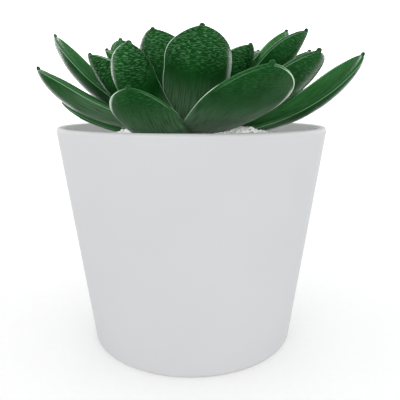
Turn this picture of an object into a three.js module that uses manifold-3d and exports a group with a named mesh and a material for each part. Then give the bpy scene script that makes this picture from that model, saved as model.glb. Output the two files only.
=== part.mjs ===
// A rosette succulent in a plain tapered pot: the pot, potting mix, a dressing of white gravel,
// a short stem, and fleshy cupped leaves in five whorls round it.
// Millimetres, +Z up. The origin is the centre of the pot's flat underside.
import * as THREE from 'three';
import { mergeVertices } from 'three/addons/utils/BufferGeometryUtils.js';
import Module from 'manifold-3d';

const wasm = await Module();
wasm.setup();

const CLEARANCE = 0.35;
const WELD = 1e-4;
const RAD = Math.PI / 180;

// Pot
const POT_HEIGHT = 116.5;
const POT_TOP_RADIUS = 70.5;
const POT_BASE_RADIUS = 56;
const POT_WALL = 3.2;
const POT_FLOOR = 5;
const POT_FOOT_ROUND = 1.6;
const POT_SIDES = 60;
const FOOT_STEPS = 2;
const LIP_STEPS = 4;

// The plant's crown, from which all heights of the plant and its bed are measured, and how far to
// the left of the pot's axis the plant grows
const CROWN = POT_HEIGHT - 0.7;
const PLANT_ASIDE = -0.65;

// Potting mix and gravel
const SOIL_TOP = CROWN - 19;
const GRAVEL_CROWN = CROWN - 0.5;
const GRAVEL_EDGE = CROWN - 11;
const GRAVEL_INNER_RADIUS = 6.5;
const GRAVEL_FLAT_RADIUS = 34;
const GRAVEL_FALL_POWER = 1.4;
const GRAVEL_RINGS = 18;
const GRAVEL_SECTORS = 54;

// Stones on top of the gravel. Each one's place, radius and height are drawn at random.
const STONE_SEED = 7;
const STONE_SPACING = 6.4;
const STONE_STRAY = 1.2;
const STONE_RADIUS = 4.2;
const STONE_RADIUS_VARIES = 0.15;
const STONE_HEIGHT = 1.9;
const STONE_HEIGHT_VARIES = 0.4;

// Stem
const STEM_RADIUS = 8;
const STEM_FOOT_RADIUS = 5.6;
const STEM_BOTTOM = SOIL_TOP - 16;
const STEM_TOP = CROWN + 9;
const STEM_SIDES = 18;
const STEM_STEPS = 3;

// Leaf outline, as shares of its length and of its half-width. It widens from the root to
// LEAF_WIDEST, and closes in a blunt tip at LEAF_TIP_AT.
const LEAF_WIDEST = 0.66;
const LEAF_BASE_WIDTH = 0.36;
const LEAF_WIDEN_POWER = 1.15;
const LEAF_TIP_AT = 0.98;
const LEAF_CLOSE_POWER = 2.6;
const LEAF_CLOSE_ROUND = 0.66;
const LEAF_TIP_RADIUS = 1.05;
const LEAF_TIP_BLUNTNESS = 45;

// Leaf section: a fleshy middle between two thinner rounded margins, both thinner at the tip
const LEAF_THICKNESS = 4.2;
const LEAF_THINNING = 0.35;
const LEAF_MARGIN = 2.0;
const MARGIN_THINNING = 0.25;
const MARGIN_BULGE = 0.6;

// Facets of a leaf. Its stations crowd towards the tip, and its points across towards the margins.
const LEAF_STATIONS = 8;
const LEAF_LAST_STATION = 0.988;
const STATION_CROWDING = 1.35;
const LEAF_ACROSS = 5;
const ACROSS_CROWDING = 1.4;
const SPINE_STEPS = 120;

// Leaves. turn is the compass direction in degrees from +X, sway the change of it towards the tip,
// low and high the rise at the base and at the tip, curl how late the rise comes, cup half of the
// angle that the section bends through, roll the lean to one side, base the height of the leaf's
// root against the crown, and root its distance from the stem's axis. Lengths and widths are those
// of the leaf laid flat.
const PLAIN = { root: 7, sway: 0, curl: 1.3, cup: 60, roll: 0 };

const OUTER_LEAVES = [
  { turn: -11, length: 96, width: 28, low: 4, high: 67, base: -4, sway: 4, curl: 1.7, cup: 55, roll: 17 },
  { turn: -74, length: 93, width: 39, low: 9, high: 49, base: -4.5, sway: 4, curl: 2.6, cup: 15, roll: 5 },
  { turn: -112, length: 71, width: 35, low: 1, high: 70, base: -9, curl: 1.8, cup: 30, roll: -6 },
  { turn: -161, length: 81, width: 37, low: 9, high: 71, base: -3.5, sway: -3, curl: 2.7, cup: 50, roll: -5 },
  { turn: 186, length: 65, width: 21, low: 6, high: 45, base: -4, sway: -1, curl: 2.4, cup: 50, roll: -25 },
  { turn: 138, length: 78, width: 34, low: 4, high: 56, base: -7 },
  { turn: 90, length: 80, width: 36, low: 2, high: 58, base: -8 },
  { turn: 42, length: 82, width: 34, low: 4, high: 56, base: -7 },
];

const MIDDLE_LEAVES = [
  { turn: -39, length: 82, width: 33, low: 10, high: 58, base: -1, sway: -20, curl: 1.9, cup: 30, roll: 6 },
  { turn: -86, length: 60, width: 37, low: 33, high: 91, base: -1, sway: 13, curl: 1.4, roll: -8 },
  { turn: -159, length: 62, width: 30, low: 18, high: 72, base: -2, sway: -6, curl: 1.4, cup: 65, roll: 12 },
  { turn: 168, length: 92, width: 32, low: 19, high: 77, base: -4.5, sway: 2, curl: 2, cup: 50, roll: 4 },
  { turn: 113, length: 76, width: 34, low: 12, high: 66, base: -4 },
  { turn: 66, length: 78, width: 34, low: 12, high: 66, base: -3 },
  { turn: 19, length: 84, width: 30, low: 14, high: 63, base: -4 },
];

const INNER_LEAVES = [
  { turn: -20, length: 72, width: 37, low: 23, high: 68, base: 1.5, sway: -4, curl: 1.5, cup: 65, roll: 8 },
  { turn: -134, length: 65, width: 26, low: 20, high: 107, base: -3, sway: 30, curl: 2.2, cup: 80, roll: 22 },
  { turn: 21, length: 78, width: 25, low: 26, high: 75, base: -1, sway: 2, curl: 1.4, cup: 65, roll: 4 },
  { turn: 68, length: 60, width: 30, low: 26, high: 80, base: 0 },
  { turn: 108, length: 58, width: 28, low: 36, high: 86, base: 1 },
  { turn: 143, length: 69, width: 30, low: 21, high: 84, base: 1, sway: 4, cup: 45, roll: -11 },
  { turn: 179, length: 55, width: 23, low: 33, high: 65, base: 1.5, sway: -1, curl: 1.4 },
];

const HEART_LEAVES = [
  { turn: -28, length: 49, width: 32, low: 34, high: 85, base: 2.5, sway: 5, cup: 65, roll: -8 },
  { turn: -129, length: 52, width: 37, low: 40, high: 100, base: 3, sway: -2, curl: 1.4, roll: 4 },
  { turn: 21, length: 51, width: 22, low: 35, high: 64, base: 4.5, sway: 1 },
  { turn: 78, length: 44, width: 24, low: 46, high: 88, base: 4 },
  { turn: 127, length: 44, width: 22, low: 42, high: 88, base: 4 },
  { turn: 176, length: 42, width: 22, low: 42, high: 84, base: 4 },
];

// The small leaves in the very middle stand upright and follow each other by the golden angle.
const CORE_COUNT = 5;
const GOLDEN_ANGLE = 137.5;
const CORE_LEAVES = Array.from({ length: CORE_COUNT }, (unused, i) => ({
  turn: 40 + GOLDEN_ANGLE * i,
  length: 34 - 3 * i,
  width: 20 - 2 * i,
  low: 62 + 3 * i,
  high: 96,
  base: 7 + 0.8 * i,
  root: 5 - 0.8 * i,
}));

const POT_WHITE = '#d9d9db';
const SOIL_BROWN = '#4a3526';
const GRAVEL_WHITE = '#e8e8e6';
const STEM_GREEN = '#5f7a44';
const LEAF_GREEN = '#1f5a28';

function solid(geometry) {
  const bare = geometry.clone();
  bare.deleteAttribute('normal');
  bare.deleteAttribute('uv');
  const merged = mergeVertices(bare, WELD);
  return new wasm.Manifold(new wasm.Mesh({
    numProp: 3,
    vertProperties: new Float32Array(merged.attributes.position.array),
    triVerts: new Uint32Array(merged.index.array),
  }));
}

function geometryOf(body) {
  const mesh = body.getMesh();
  const geometry = new THREE.BufferGeometry();
  geometry.setAttribute('position', new THREE.BufferAttribute(mesh.vertProperties, mesh.numProp));
  geometry.setIndex(new THREE.BufferAttribute(mesh.triVerts, 1));
  geometry.computeVertexNormals();
  return geometry;
}

function largest(body) {
  return body.decompose().reduce((a, b) => (b.volume() > a.volume() ? b : a));
}

function part(name, geometry, color, roughness) {
  const material = new THREE.MeshStandardMaterial({ color, roughness, metalness: 0 });
  const mesh = new THREE.Mesh(geometry, material);
  mesh.name = name;
  return mesh;
}

// Points of a round corner: an arc of a circle in the plane of a lathe profile
function arc(x, y, radius, from, to, steps) {
  const points = [];
  for (let i = 0; i <= steps; i += 1) {
    const angle = (from + (to - from) * i / steps) * RAD;
    points.push(new THREE.Vector2(x + radius * Math.cos(angle), y + radius * Math.sin(angle)));
  }
  return points;
}

// A solid of revolution whose profile is given as radius and height
function turned(profile, sides) {
  return new THREE.LatheGeometry(profile, sides).rotateX(Math.PI / 2);
}

function outerRadius(z) {
  return POT_BASE_RADIUS + (POT_TOP_RADIUS - POT_BASE_RADIUS) * z / POT_HEIGHT;
}

// Rounded foot, straight leaning wall and a fully rounded lip
function pot() {
  const lip = POT_WALL / 2;
  const lean = Math.atan2(POT_TOP_RADIUS - POT_BASE_RADIUS, POT_HEIGHT) / RAD;
  const foot = POT_BASE_RADIUS - POT_FOOT_ROUND;
  const profile = [
    new THREE.Vector2(0, 0),
    ...arc(foot, POT_FOOT_ROUND, POT_FOOT_ROUND, -90, -lean, FOOT_STEPS),
    ...arc(POT_TOP_RADIUS - lip, POT_HEIGHT - lip, lip, -lean, 180 - lean, LIP_STEPS),
    new THREE.Vector2(outerRadius(POT_FLOOR) - POT_WALL, POT_FLOOR),
    new THREE.Vector2(0, POT_FLOOR),
  ];
  return turned(profile, POT_SIDES);
}

function soil() {
  const bottom = POT_FLOOR + CLEARANCE;
  const gap = POT_WALL + 2 * CLEARANCE;
  const profile = [
    new THREE.Vector2(0, bottom),
    new THREE.Vector2(outerRadius(bottom) - gap, bottom),
    new THREE.Vector2(outerRadius(SOIL_TOP) - gap, SOIL_TOP),
    new THREE.Vector2(0, SOIL_TOP),
  ];
  return turned(profile, POT_SIDES);
}

// Tapered at its foot and domed at its top
function stem(grow = 0) {
  const radius = STEM_RADIUS + grow;
  const profile = [
    new THREE.Vector2(0, STEM_BOTTOM - grow),
    new THREE.Vector2(STEM_FOOT_RADIUS + grow, STEM_BOTTOM - grow),
    new THREE.Vector2(radius, STEM_BOTTOM + STEM_RADIUS),
    ...arc(0, STEM_TOP - STEM_RADIUS, radius, 0, 90, STEM_STEPS),
  ];
  return turned(profile, STEM_SIDES).translate(PLANT_ASIDE, 0, 0);
}

// A small repeatable random number generator, which gives values from -1 to 1
function random(seed) {
  const multiplier = 16807;
  const modulus = 2 ** 31 - 1;
  let state = seed;
  return () => {
    state = (state * multiplier) % modulus;
    return 2 * state / modulus - 1;
  };
}

function stones() {
  const draw = random(STONE_SEED);
  const list = [];
  const reach = POT_TOP_RADIUS;
  const rowHeight = STONE_SPACING * Math.sqrt(3) / 2;
  for (let row = -Math.ceil(reach / rowHeight); row * rowHeight <= reach; row += 1) {
    for (let x = -reach; x <= reach; x += STONE_SPACING) {
      list.push({
        x: x + (row % 2 ? STONE_SPACING / 2 : 0) + STONE_STRAY * draw(),
        y: row * rowHeight + STONE_STRAY * draw(),
        radius: STONE_RADIUS * (1 + STONE_RADIUS_VARIES * draw()),
        height: STONE_HEIGHT * (1 + STONE_HEIGHT_VARIES * draw()),
      });
    }
  }
  return list;
}

// The gravel is level round the plant and falls away to the wall.
function gravelLevel(radius) {
  const edge = outerRadius(GRAVEL_EDGE) - POT_WALL;
  const t = THREE.MathUtils.clamp((radius - GRAVEL_FLAT_RADIUS) / (edge - GRAVEL_FLAT_RADIUS), 0, 1);
  return GRAVEL_CROWN + (GRAVEL_EDGE - GRAVEL_CROWN) * Math.sin(t * Math.PI / 2) ** GRAVEL_FALL_POWER;
}

// A ring, level below and covered with domed stones on top. It reaches into the stem's place, so
// that its hole follows the stem when that is cut out of it.
function gravel() {
  const list = stones();
  const relief = (x, y) => list.reduce((most, stone) => {
    const d = Math.hypot(x - stone.x, y - stone.y) / stone.radius;
    return d < 1 ? Math.max(most, stone.height * Math.sqrt(1 - d * d)) : most;
  }, 0);
  const bottom = SOIL_TOP + CLEARANCE;
  const topEdge = outerRadius(GRAVEL_EDGE) - POT_WALL - 2 * CLEARANCE;
  const bottomEdge = outerRadius(bottom) - POT_WALL - 2 * CLEARANCE;
  const rings = [{ radius: GRAVEL_INNER_RADIUS, isTop: false }];
  for (let i = 0; i <= GRAVEL_RINGS; i += 1) {
    const share = i / GRAVEL_RINGS;
    rings.push({ radius: THREE.MathUtils.lerp(GRAVEL_INNER_RADIUS, topEdge, share), isTop: true });
  }
  rings.push({ radius: bottomEdge, isTop: false });
  const positions = [];
  rings.forEach(({ radius, isTop }, i) => {
    for (let j = 0; j < GRAVEL_SECTORS; j += 1) {
      const angle = 2 * Math.PI * (j + 0.5 * (i % 2)) / GRAVEL_SECTORS;
      const x = radius * Math.cos(angle);
      const y = radius * Math.sin(angle);
      positions.push(x, y, isTop ? gravelLevel(radius) + relief(x, y) : bottom);
    }
  });
  return ringMesh(positions, rings.length, GRAVEL_SECTORS, true);
}

// Triangles between rings of points. A closed loop of rings joins the last ring to the first.
function ringMesh(positions, rings, around, loop, caps = []) {
  const index = [...caps];
  for (let i = 0; i < (loop ? rings : rings - 1); i += 1) {
    for (let j = 0; j < around; j += 1) {
      const a = i * around + j;
      const b = i * around + (j + 1) % around;
      const c = ((i + 1) % rings) * around + (j + 1) % around;
      const d = ((i + 1) % rings) * around + j;
      index.push(a, d, b, b, d, c);
    }
  }
  const geometry = new THREE.BufferGeometry();
  geometry.setAttribute('position', new THREE.Float32BufferAttribute(positions, 3));
  geometry.setIndex(index);
  geometry.computeVertexNormals();
  return geometry;
}

// Share of the leaf's full half-width at station s, from the root at 0 to the tip at 1
function spread(s) {
  if (s < LEAF_WIDEST) {
    const rise = Math.sin(Math.PI / 2 * s / LEAF_WIDEST) ** LEAF_WIDEN_POWER;
    return LEAF_BASE_WIDTH + (1 - LEAF_BASE_WIDTH) * rise;
  }
  const q = Math.min((s - LEAF_WIDEST) / (LEAF_TIP_AT - LEAF_WIDEST), 1);
  return (1 - q ** LEAF_CLOSE_POWER) ** LEAF_CLOSE_ROUND;
}

// The leaf's direction at station s: along it, across it, and out of its upper face
function axes(leaf, s) {
  const heading = (leaf.turn + leaf.sway * s) * RAD;
  const rise = (leaf.low + (leaf.high - leaf.low) * s ** leaf.curl) * RAD;
  const roll = leaf.roll * RAD;
  const along = new THREE.Vector3(
    Math.cos(rise) * Math.cos(heading),
    Math.cos(rise) * Math.sin(heading),
    Math.sin(rise),
  );
  const level = new THREE.Vector3(-Math.sin(heading), Math.cos(heading), 0);
  const upper = new THREE.Vector3().crossVectors(along, level);
  const across = level.clone().multiplyScalar(Math.cos(roll)).addScaledVector(upper, Math.sin(roll));
  const out = upper.multiplyScalar(Math.cos(roll)).addScaledVector(level, -Math.sin(roll));
  return { along, across, out };
}

// The line down the middle of the leaf, from a root inside the stem
function spine(leaf) {
  const points = [new THREE.Vector3(
    PLANT_ASIDE + leaf.root * Math.cos(leaf.turn * RAD),
    leaf.root * Math.sin(leaf.turn * RAD),
    CROWN + leaf.base,
  )];
  for (let i = 0; i < SPINE_STEPS; i += 1) {
    const { along } = axes(leaf, (i + 0.5) / SPINE_STEPS);
    points.push(points[i].clone().addScaledVector(along, leaf.length / SPINE_STEPS));
  }
  return points;
}

// The leaf's size at station s: half its width round the bend, half of that bend's angle, and
// half its thickness in the middle and at the margins
function section(leaf, s) {
  const share = spread(s);
  const tipRound = Math.sqrt(1 - s ** LEAF_TIP_BLUNTNESS);
  const middle = LEAF_THICKNESS / 2 * (1 - LEAF_THINNING * s * s) * tipRound;
  return {
    half: Math.hypot(leaf.width / 2 * share, LEAF_TIP_RADIUS * tipRound),
    bow: leaf.cup * RAD * (1 + share) / 2,
    middle,
    margin: Math.min(LEAF_MARGIN / 2 * (1 - MARGIN_THINNING * s), middle),
  };
}

// A closed leaf, or with grow above 0 the same leaf larger by that much all round
function leafGeometry(leaf, grow = 0) {
  const line = spine(leaf);
  const positions = [];
  for (let i = 0; i <= LEAF_STATIONS; i += 1) {
    const s = LEAF_LAST_STATION * (1 - (1 - i / LEAF_STATIONS) ** STATION_CROWDING);
    const place = s * SPINE_STEPS;
    const before = Math.floor(place);
    const { along, across, out } = axes(leaf, s);
    const centre = line[before].clone().lerp(line[before + 1], place - before);
    if (i === 0) {
      centre.addScaledVector(along, -grow);
    }
    const { half, bow, middle, margin } = section(leaf, s);
    // t runs across the leaf from -1 to 1, lift is out of its middle surface, and beyond is past
    // its margin.
    const point = (t, lift, beyond) => {
      const angle = bow * t;
      const radius = half / bow - lift;
      const sideways = radius * Math.sin(angle) + beyond * Math.cos(angle);
      const upward = half / bow - radius * Math.cos(angle) + beyond * Math.sin(angle);
      const p = centre.clone().addScaledVector(across, sideways).addScaledVector(out, upward);
      positions.push(p.x, p.y, p.z);
    };
    for (const side of [1, -1]) {
      for (let j = 0; j < LEAF_ACROSS; j += 1) {
        const even = 2 * j / (LEAF_ACROSS - 1) - 1;
        const t = side * Math.sin(even * ACROSS_CROWDING) / Math.sin(ACROSS_CROWDING);
        point(t, side * (margin + (middle - margin) * (1 - t * t) + grow), 0);
      }
      point(side, 0, side * (margin * MARGIN_BULGE + grow));
    }
  }
  const around = 2 * LEAF_ACROSS + 2;
  const rings = LEAF_STATIONS + 1;
  const tip = line[SPINE_STEPS].clone().addScaledVector(axes(leaf, 1).along, grow);
  positions.push(tip.x, tip.y, tip.z);
  return ringMesh(positions, rings, around, false, [...rootCap(around), ...tipCap(rings, around)]);
}

// Triangles that close a leaf's root, straight across from its upper to its lower face
function rootCap(around) {
  const lower = (j) => around - 2 - j;
  const last = LEAF_ACROSS - 1;
  const index = [last, LEAF_ACROSS, lower(last), 0, lower(0), around - 1];
  for (let j = 0; j < last; j += 1) {
    index.push(j, j + 1, lower(j + 1), j, lower(j + 1), lower(j));
  }
  return index;
}

// Triangles from a leaf's last ring to the point of its tip
function tipCap(rings, around) {
  const first = (rings - 1) * around;
  const index = [];
  for (let j = 0; j < around; j += 1) {
    index.push(first + j, rings * around, first + (j + 1) % around);
  }
  return index;
}

// The leaves nearest the middle keep their whole shape. Each one further out is hollowed where it
// would run into the stem or a leaf that it lies against, and keeps clear of it.
function leafSolids() {
  const placed = [solid(stem(CLEARANCE))];
  const named = [];
  const whorls = {
    core: CORE_LEAVES,
    heart: HEART_LEAVES,
    inner: INNER_LEAVES,
    middle: MIDDLE_LEAVES,
    outer: OUTER_LEAVES,
  };
  for (const [whorl, leaves] of Object.entries(whorls)) {
    leaves.forEach((each, i) => {
      const leaf = { ...PLAIN, ...each };
      const body = placed.reduce((rest, other) => rest.subtract(other), solid(leafGeometry(leaf)));
      placed.push(solid(leafGeometry(leaf, CLEARANCE)));
      named.push({ name: `${whorl}_leaf_${i + 1}`, body: largest(body) });
    });
  }
  return { named, cutters: placed };
}

const succulent = new THREE.Group();
const { named, cutters } = leafSolids();
const dressing = cutters.reduce((rest, other) => rest.subtract(other), solid(gravel()));
const mix = cutters.reduce((rest, other) => rest.subtract(other), solid(soil()));

succulent.add(part('pot', pot(), POT_WHITE, 0.45));
succulent.add(part('soil', geometryOf(largest(mix)), SOIL_BROWN, 0.95));
succulent.add(part('gravel', geometryOf(largest(dressing)), GRAVEL_WHITE, 0.9));
succulent.add(part('stem', stem(), STEM_GREEN, 0.6));
for (const { name, body } of named) {
  succulent.add(part(name, geometryOf(body), LEAF_GREEN, 0.5));
}

export default succulent;
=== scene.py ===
import itertools
import math

import bpy
import numpy as np
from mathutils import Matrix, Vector
from mathutils.bvhtree import BVHTree


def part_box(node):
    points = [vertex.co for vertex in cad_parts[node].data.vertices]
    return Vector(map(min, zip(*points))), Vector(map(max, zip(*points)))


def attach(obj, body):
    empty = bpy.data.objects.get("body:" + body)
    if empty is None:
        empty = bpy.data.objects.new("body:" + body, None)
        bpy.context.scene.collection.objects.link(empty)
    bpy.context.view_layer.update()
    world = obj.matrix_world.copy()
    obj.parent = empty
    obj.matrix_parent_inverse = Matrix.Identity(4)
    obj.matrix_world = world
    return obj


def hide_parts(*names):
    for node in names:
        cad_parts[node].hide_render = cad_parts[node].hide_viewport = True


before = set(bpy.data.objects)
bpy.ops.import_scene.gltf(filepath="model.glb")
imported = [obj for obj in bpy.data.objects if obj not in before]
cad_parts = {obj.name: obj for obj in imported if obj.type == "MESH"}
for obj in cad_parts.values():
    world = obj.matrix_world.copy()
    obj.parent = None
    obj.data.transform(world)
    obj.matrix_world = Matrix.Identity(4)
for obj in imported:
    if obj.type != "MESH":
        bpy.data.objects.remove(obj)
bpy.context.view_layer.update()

MM = 0.001
SEED = 11

# Camera, from the ellipses of the pot's rim and foot in a picture 400 pixels wide
IMAGE_WIDTH_PX = 400
FOCAL_PX = 446
SENSOR_MM = 36
CAMERA_BACK = 0.2458
CAMERA_OVER_RIM = 0.0115
CAMERA_ASIDE = -0.00065
CAMERA_PITCH_DEG = 12.18
CAMERA_TURN_DEG = 1.16

# Light, in metres and watts: a white sky, brightest low down, and low soft lamps. SKY_FROM and
# SKY_TO are heights on a sphere of radius 1.
SKY_FROM = 0.35
SKY_TO = 0.75
SKY_LOW = 2.1
SKY_HIGH = 0.65
LAMP_AWAY = 2.5
LAMP_HEIGHT = 0.32
LAMP_SIZE = 0.8
FRONT_POWER = 22
SIDE_POWER = 6

# Floor, a disc in millimetres
FLOOR_RADIUS = 4000
FLOOR_GAP = 0.05
FLOOR_SIDES = 96

# Pot. Its height and top radius come from the CAD node.
pot_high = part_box("pot")[1]
POT_HEIGHT = pot_high.z / MM
POT_TOP_RADIUS = pot_high.x / MM
POT_BASE_RADIUS = 56
POT_FLARE = (POT_TOP_RADIUS - POT_BASE_RADIUS) / POT_HEIGHT
POT_WALL = 3.2
POT_FLOOR = 5
POT_FOOT_ROUND = 1.6
POT_SIDES = 192
POT_WALL_ROWS = 40
POT_BASE_RINGS = 13
POT_FOOT_STEPS = 9
POT_LIP_STEPS = 19

# The plant's crown, from which its heights are measured, and how far the plant grows to the left
# of the pot's axis
CROWN = POT_HEIGHT - 0.7
PLANT_ASIDE = -0.65

# Gravel, as in the CAD model, with a closed bed and grit of its real size on top. GRIT_LOW and
# GRIT_HIGH are the lowest and highest place of a grain's middle from the gravel's level, and
# GRIT_JAGGED and GRIT_STRETCH the least and most that its corners and its sides are scaled by.
GRAVEL_CROWN = CROWN - 0.5
GRAVEL_EDGE = CROWN - 11
GRAVEL_BOTTOM = CROWN - 18.6
GRAVEL_FLAT_RADIUS = 34
GRAVEL_FALL_POWER = 1.4
GRIT_SPACING = 1.75
GRIT_STRAY = 0.45
GRIT_RADIUS = 1.15
GRIT_JAGGED = (0.72, 1.28)
GRIT_STRETCH = (0.65, 1.2)
GRIT_LOW = -0.6
GRIT_HIGH = 0.5
GRIT_SINK = 0.7
BED_GAP = 0.7
BED_RINGS = 40
BED_SIDES = 96
BED_TINT = 0.3

# Stem, with a low ring for each fallen leaf and a gap to the gravel round it. STEM_RING_TURN is in
# radians to the millimetre.
STEM_GAP = 0.35
STEM_RADIUS = 8
STEM_TOP = CROWN + 9
STEM_BOTTOM = CROWN - 35
STEM_RING_HEIGHT = 0.2
STEM_RING_TURN = 1.9
STEM_SIDES = 96

# Leaf outline and section, as in the CAD model
LEAF_WIDEST = 0.66
LEAF_BASE_WIDTH = 0.36
LEAF_WIDEN_POWER = 1.15
LEAF_TIP_AT = 0.98
LEAF_CLOSE_POWER = 2.6
LEAF_CLOSE_ROUND = 0.66
LEAF_TIP_RADIUS = 1.05
LEAF_TIP_BLUNTNESS = 45
LEAF_THICKNESS = 4.2
LEAF_THINNING = 0.35
LEAF_MARGIN = 2.0
MARGIN_THINNING = 0.25
MARGIN_BULGE = 0.6
SPINE_STEPS = 240

# Fineness of a leaf's mesh and its relief
STATION_STEP = 0.42
STATION_CROWDING = 1.2
LAST_STATION = 0.9985
ACROSS_STEP = 1.25
ACROSS_CROWDING = 1.35
MARGIN_POINTS = 7
MARGIN_SQUARENESS = 3.2
WRINKLE_HEIGHT = 0.05
WRINKLE_ALONG = 0.85
WRINKLE_ACROSS = 3.2
DIMPLE_HEIGHT = 0.12
DIMPLE_SIZE = 7.0
WANDER = 1.2
WANDER_SIZE = 9.0
RELIEF_FADE = 0.08

# How far apart the noise is taken for the two faces of a leaf and for one leaf and the next, and the
# steps between the seeds of leaves
LOWER_FACE_SHIFT = 40.0
LEAF_SHIFT = 7.0
LEAF_SEED_STEP = 10

# Colours of a leaf
LEAF_DARK = (0.0025, 0.030, 0.0045, 1)
LEAF_FRESH = (0.005, 0.045, 0.008, 1)
LEAF_INNER_DARK = (0.015, 0.09, 0.018, 1)
LEAF_INNER_FRESH = (0.026, 0.115, 0.030, 1)
LEAF_INNER_STREAK = (0.07, 0.21, 0.08, 1)
# Painted highlight: the crests of the wrinkles are lightened to this colour.
LEAF_CREST_HIGHLIGHT = (0.052, 0.155, 0.058, 1)
# Grey bloom at the base: partly its own colour, partly painted reflection of light thrown up from the
# grit and pot.
LEAF_BLOOM_AND_REFLECTION = (0.095, 0.178, 0.1, 1)
LEAF_BAND = (0.028, 0.11, 0.034, 1)
# Pale lines at the margins: partly their own colour, partly painted highlight.
LEAF_LINE = (0.26, 0.42, 0.27, 1)
# Painted highlight: lines stronger than full are lightened to this.
LEAF_LINE_HIGHLIGHT = (0.66, 0.78, 0.67, 1)
LEAF_POINT = (0.022, 0.042, 0.024, 1)
# Painted sheen: a white strip laid on the lower face of some leaves.
LEAF_PAINTED_SHEEN = (0.62, 0.69, 0.62, 1)

# Colours of the pot's glaze outside and inside, its bare foot, the grit, the mix, the stem and the
# floor. The inside glaze is painted near white against the mid grey outside: painted light where
# the leaves shade the inside.
GLAZE_DARK = (0.392, 0.395, 0.405, 1)
GLAZE_PALE = (0.404, 0.407, 0.417, 1)
# Painted light: the inside glaze is painted near white where the leaves shade it.
GLAZE_INSIDE_PAINTED_LIGHT = (0.94, 0.94, 0.945, 1)
CLAY_DARK = (0.50, 0.48, 0.45, 1)
CLAY_PALE = (0.60, 0.58, 0.55, 1)
GRIT_DULL = (0.92, 0.92, 0.91, 1)
GRIT_WHITE = (0.97, 0.97, 0.965, 1)
GRIT_GREY = (0.42, 0.41, 0.40, 1)
GRIT_PIT = (0.70, 0.69, 0.67, 1)
MIX_DARK = (0.022, 0.013, 0.008, 1)
MIX_BROWN = (0.10, 0.055, 0.03, 1)
MIX_BIT = (0.32, 0.27, 0.20, 1)
STEM_GREEN = (0.07, 0.13, 0.035, 1)
STEM_OLIVE = (0.13, 0.17, 0.06, 1)
STEM_SCAR = (0.10, 0.07, 0.035, 1)
FLOOR_DULL = (0.90, 0.90, 0.90, 1)
FLOOR_WHITE = (0.93, 0.93, 0.93, 1)

# Zones of a leaf: the wrinkles and the point in millimetres from its tip, the pale band and lines
# in millimetres from its margin, and the grey bloom with its painted reflection, the strip of
# painted sheen, the lines and the rim's painted highlight along it in shares of its length.
# RIM_FROM is the share of the margin's lift at which a rim is full.
FOLDS_FULL = 8
FOLDS_END = 26
POINT_LENGTH = 1.8
BLOOM_AND_REFLECTION_RISE = 0.4
PAINTED_SHEEN_RISE = 0.1
PAINTED_SHEEN_FADE = 0.05
LINE_BASE = 0.35
LINE_TIP = 0.5
LINE_END = 0.93
BAND_FULL = 0.7
BAND_END = 1.2
LINE_MIDDLE = 0.9
LINE_CORE = 0.08
LINE_SOFT = 0.34
RIM_FADE = 0.04
RIM_HIGHLIGHT_STRENGTH = 2.2
RIM_FROM = 0.3
OUTER_FOLDS = 0.2

# How far past the share of facing at which a leaf's wax starts to mirror it fully does
WAX_RISE = 0.2

# Room that a leaf keeps to the leaves that it lies against
PRESS_GAP = 0.15
PRESS_REACH = 6.0
PRESS_STATIONS = 56
PRESS_ACROSS = 17
PRESS_ROUNDS = 12
RAY_STEP = 1e-4

# Leaves, with the same values as in the CAD model. Besides, wax is the share of facing at which
# the wax starts to mirror, point the share of the dark tip, folds that of the wrinkles, left and
# right those of the pale lines, which are partly painted highlight, bloom the station at which the
# grey bloom of the base, partly painted reflection, ends, and rim the margin that has one bright
# line instead, a painted highlight, -1 or 1 or 0 for none, and the station at which that line ends.
# frost is a strip of painted white sheen along the lower face: where it lies across the leaf from
# -1 to 1, its half-width there, its strength, and the stations at which it begins and ends.
PLAIN = dict(root=7, sway=0, curl=1.3, cup=60, roll=0,
             wax=0.74, point=1, folds=1, bloom_and_reflection=0.6, left=1, right=1, rim=(0, 0), painted_sheen=(0, 1, 0, 0, 1))
OUTER_LEAVES = [
    dict(turn=-11, length=96, width=28, low=4, high=67, base=-4, sway=4, curl=1.7, cup=55, roll=17,
         wax=0.62, left=0.6, painted_sheen=(-0.4, 0.45, 0.1, 0.4, 0.97)),
    dict(turn=-74, length=93, width=39, low=9, high=49, base=-4.5, sway=4, curl=2.6, cup=15, roll=5,
         wax=1.1, point=0.2, bloom_and_reflection=0.85, left=0.25, right=1.5, rim=(-1, 0.86),
         painted_sheen=(1, 0.14, 0.9, 0.45, 0.8)),
    dict(turn=-112, length=71, width=35, low=1, high=70, base=-9, curl=1.8, cup=30, roll=-6,
         wax=0.9, point=0.2, bloom_and_reflection=0.95, left=1.8, right=0.3, rim=(1, 0.84),
         painted_sheen=(-1, 0.17, 1, 0.2, 0.9)),
    dict(turn=-161, length=81, width=37, low=9, high=71, base=-3.5, sway=-3, curl=2.7, cup=50, roll=-5,
         wax=0.62, bloom_and_reflection=0.9, right=0.7, painted_sheen=(0.1, 0.5, 0.12, 0.3, 0.97)),
    dict(turn=186, length=65, width=21, low=6, high=45, base=-4, sway=-1, curl=2.4, cup=50, roll=-25),
    dict(turn=138, length=78, width=34, low=4, high=56, base=-7),
    dict(turn=90, length=80, width=36, low=2, high=58, base=-8),
    dict(turn=42, length=82, width=34, low=4, high=56, base=-7),
]
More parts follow.
